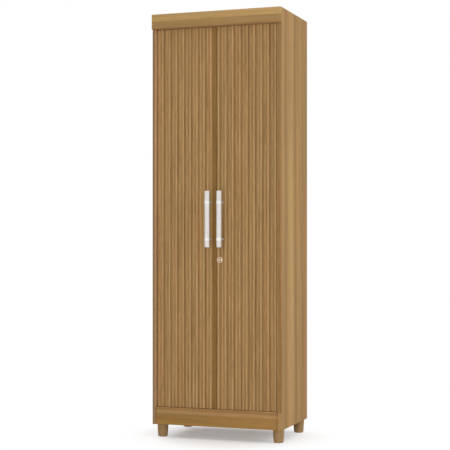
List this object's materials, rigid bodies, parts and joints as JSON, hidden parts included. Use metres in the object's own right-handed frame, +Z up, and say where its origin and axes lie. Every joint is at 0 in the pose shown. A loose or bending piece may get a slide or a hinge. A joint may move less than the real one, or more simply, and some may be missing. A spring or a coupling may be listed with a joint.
{
  "type": "utility cabinet",
  "caption": "Tall utility cabinet with slatted inset doors on concealed hinges, bar handles, a cam lock, shelves inside and tapered feet.",
  "frame": {"origin": "on the floor, under the middle of the box that holds the cabinet and its handles", "axes": "+Z up, -Y out of the doors' face, +X to the right of someone facing the doors"},
  "size_m": [0.6, 0.4432, 1.88],
  "materials": {
    "carcass_board": "wood-grain foil on board, satin",
    "shelf_board": "wood-grain foil on board, satin",
    "front_board": "wood-grain foil on board, satin",
    "slat_board": "wood-grain foil on board, satin",
    "hardboard": "bare pressed hardboard",
    "foot_finish": "brown moulded, matt",
    "handle_metal": "satin silver",
    "hinge_steel": "nickel-plated pressed steel",
    "zinc_steel": "bright zinc plate",
    "zinc_alloy": "die-cast zinc, as cast",
    "lock_metal": "plated, bright",
    "dowel_wood": "bare beech",
    "catch_plastic": "brown moulded, satin",
    "magnet_ferrite": "dark sintered"
  },
  "bodies": {
    "carcass": {"left_side_panel": "carcass_board", "right_side_panel": "carcass_board", "top_panel": "carcass_board", "bottom_panel": "carcass_board", "rear_rail": "carcass_board", "fixed_shelf": "shelf_board", "lower_shelf": "shelf_board", "upper_shelf": "shelf_board", "top_shelf": "shelf_board", "top_fascia": "front_board", "bottom_rail": "front_board", "upper_back_panel": "hardboard", "lower_back_panel": "hardboard", "front_left_foot": "foot_finish", "front_right_foot": "foot_finish", "rear_left_foot": "foot_finish", "rear_right_foot": "foot_finish", "left_hinge_arms": "hinge_steel", "right_hinge_arms": "hinge_steel", "left_hinge_plates": "hinge_steel", "right_hinge_plates": "hinge_steel", "fixing_screws": "zinc_steel", "hinge_arm_screws": "zinc_steel", "foot_studs": "zinc_steel", "foot_nuts": "zinc_steel", "foot_brackets": "zinc_steel", "fascia_brackets": "zinc_steel", "shelf_pins": "zinc_steel", "cam_bolts": "zinc_steel", "back_panel_nails": "zinc_steel", "cam_locks": "zinc_alloy", "dowels": "dowel_wood", "magnetic_catches": "catch_plastic", "catch_magnets": "magnet_ferrite"},
    "left_door": {"left_door_panel": "front_board", "left_door_slats": "slat_board", "left_hinge_cups": "hinge_steel", "left_hinge_pins": "hinge_steel", "left_handle_bar": "handle_metal", "left_handle_posts": "handle_metal", "left_handle_screws": "zinc_steel", "left_catch_plate": "zinc_steel", "left_door_screws": "zinc_steel", "lock_keeper": "catch_plastic"},
    "right_door": {"right_door_panel": "front_board", "right_door_slats": "slat_board", "right_door_meeting_slat": "slat_board", "right_hinge_cups": "hinge_steel", "right_hinge_pins": "hinge_steel", "right_handle_bar": "handle_metal", "right_handle_posts": "handle_metal", "right_handle_screws": "zinc_steel", "right_catch_plate": "zinc_steel", "right_door_screws": "zinc_steel", "lock_housing": "lock_metal", "lock_nut": "zinc_alloy"},
    "lock": {"lock_plug": "lock_metal", "lock_cam": "zinc_steel", "lock_cam_screw": "zinc_steel"}
  },
  "joints": [
    {"name": "left_door_hinge", "type": "hinge", "parent": "carcass", "child": "left_door", "pos_m": [-0.2648, -0.15555, 0.9755], "axis": [0, 0, -1], "range_deg": [0, 95]},
    {"name": "right_door_hinge", "type": "hinge", "parent": "carcass", "child": "right_door", "pos_m": [0.2648, -0.15555, 0.9755], "axis": [0, 0, 1], "range_deg": [0, 95]},
    {"name": "lock_turn", "type": "hinge", "parent": "right_door", "child": "lock", "pos_m": [0.0145, -0.1575, 0.7922], "axis": [0, 1, 0], "range_deg": [0, 90]}
  ]
}
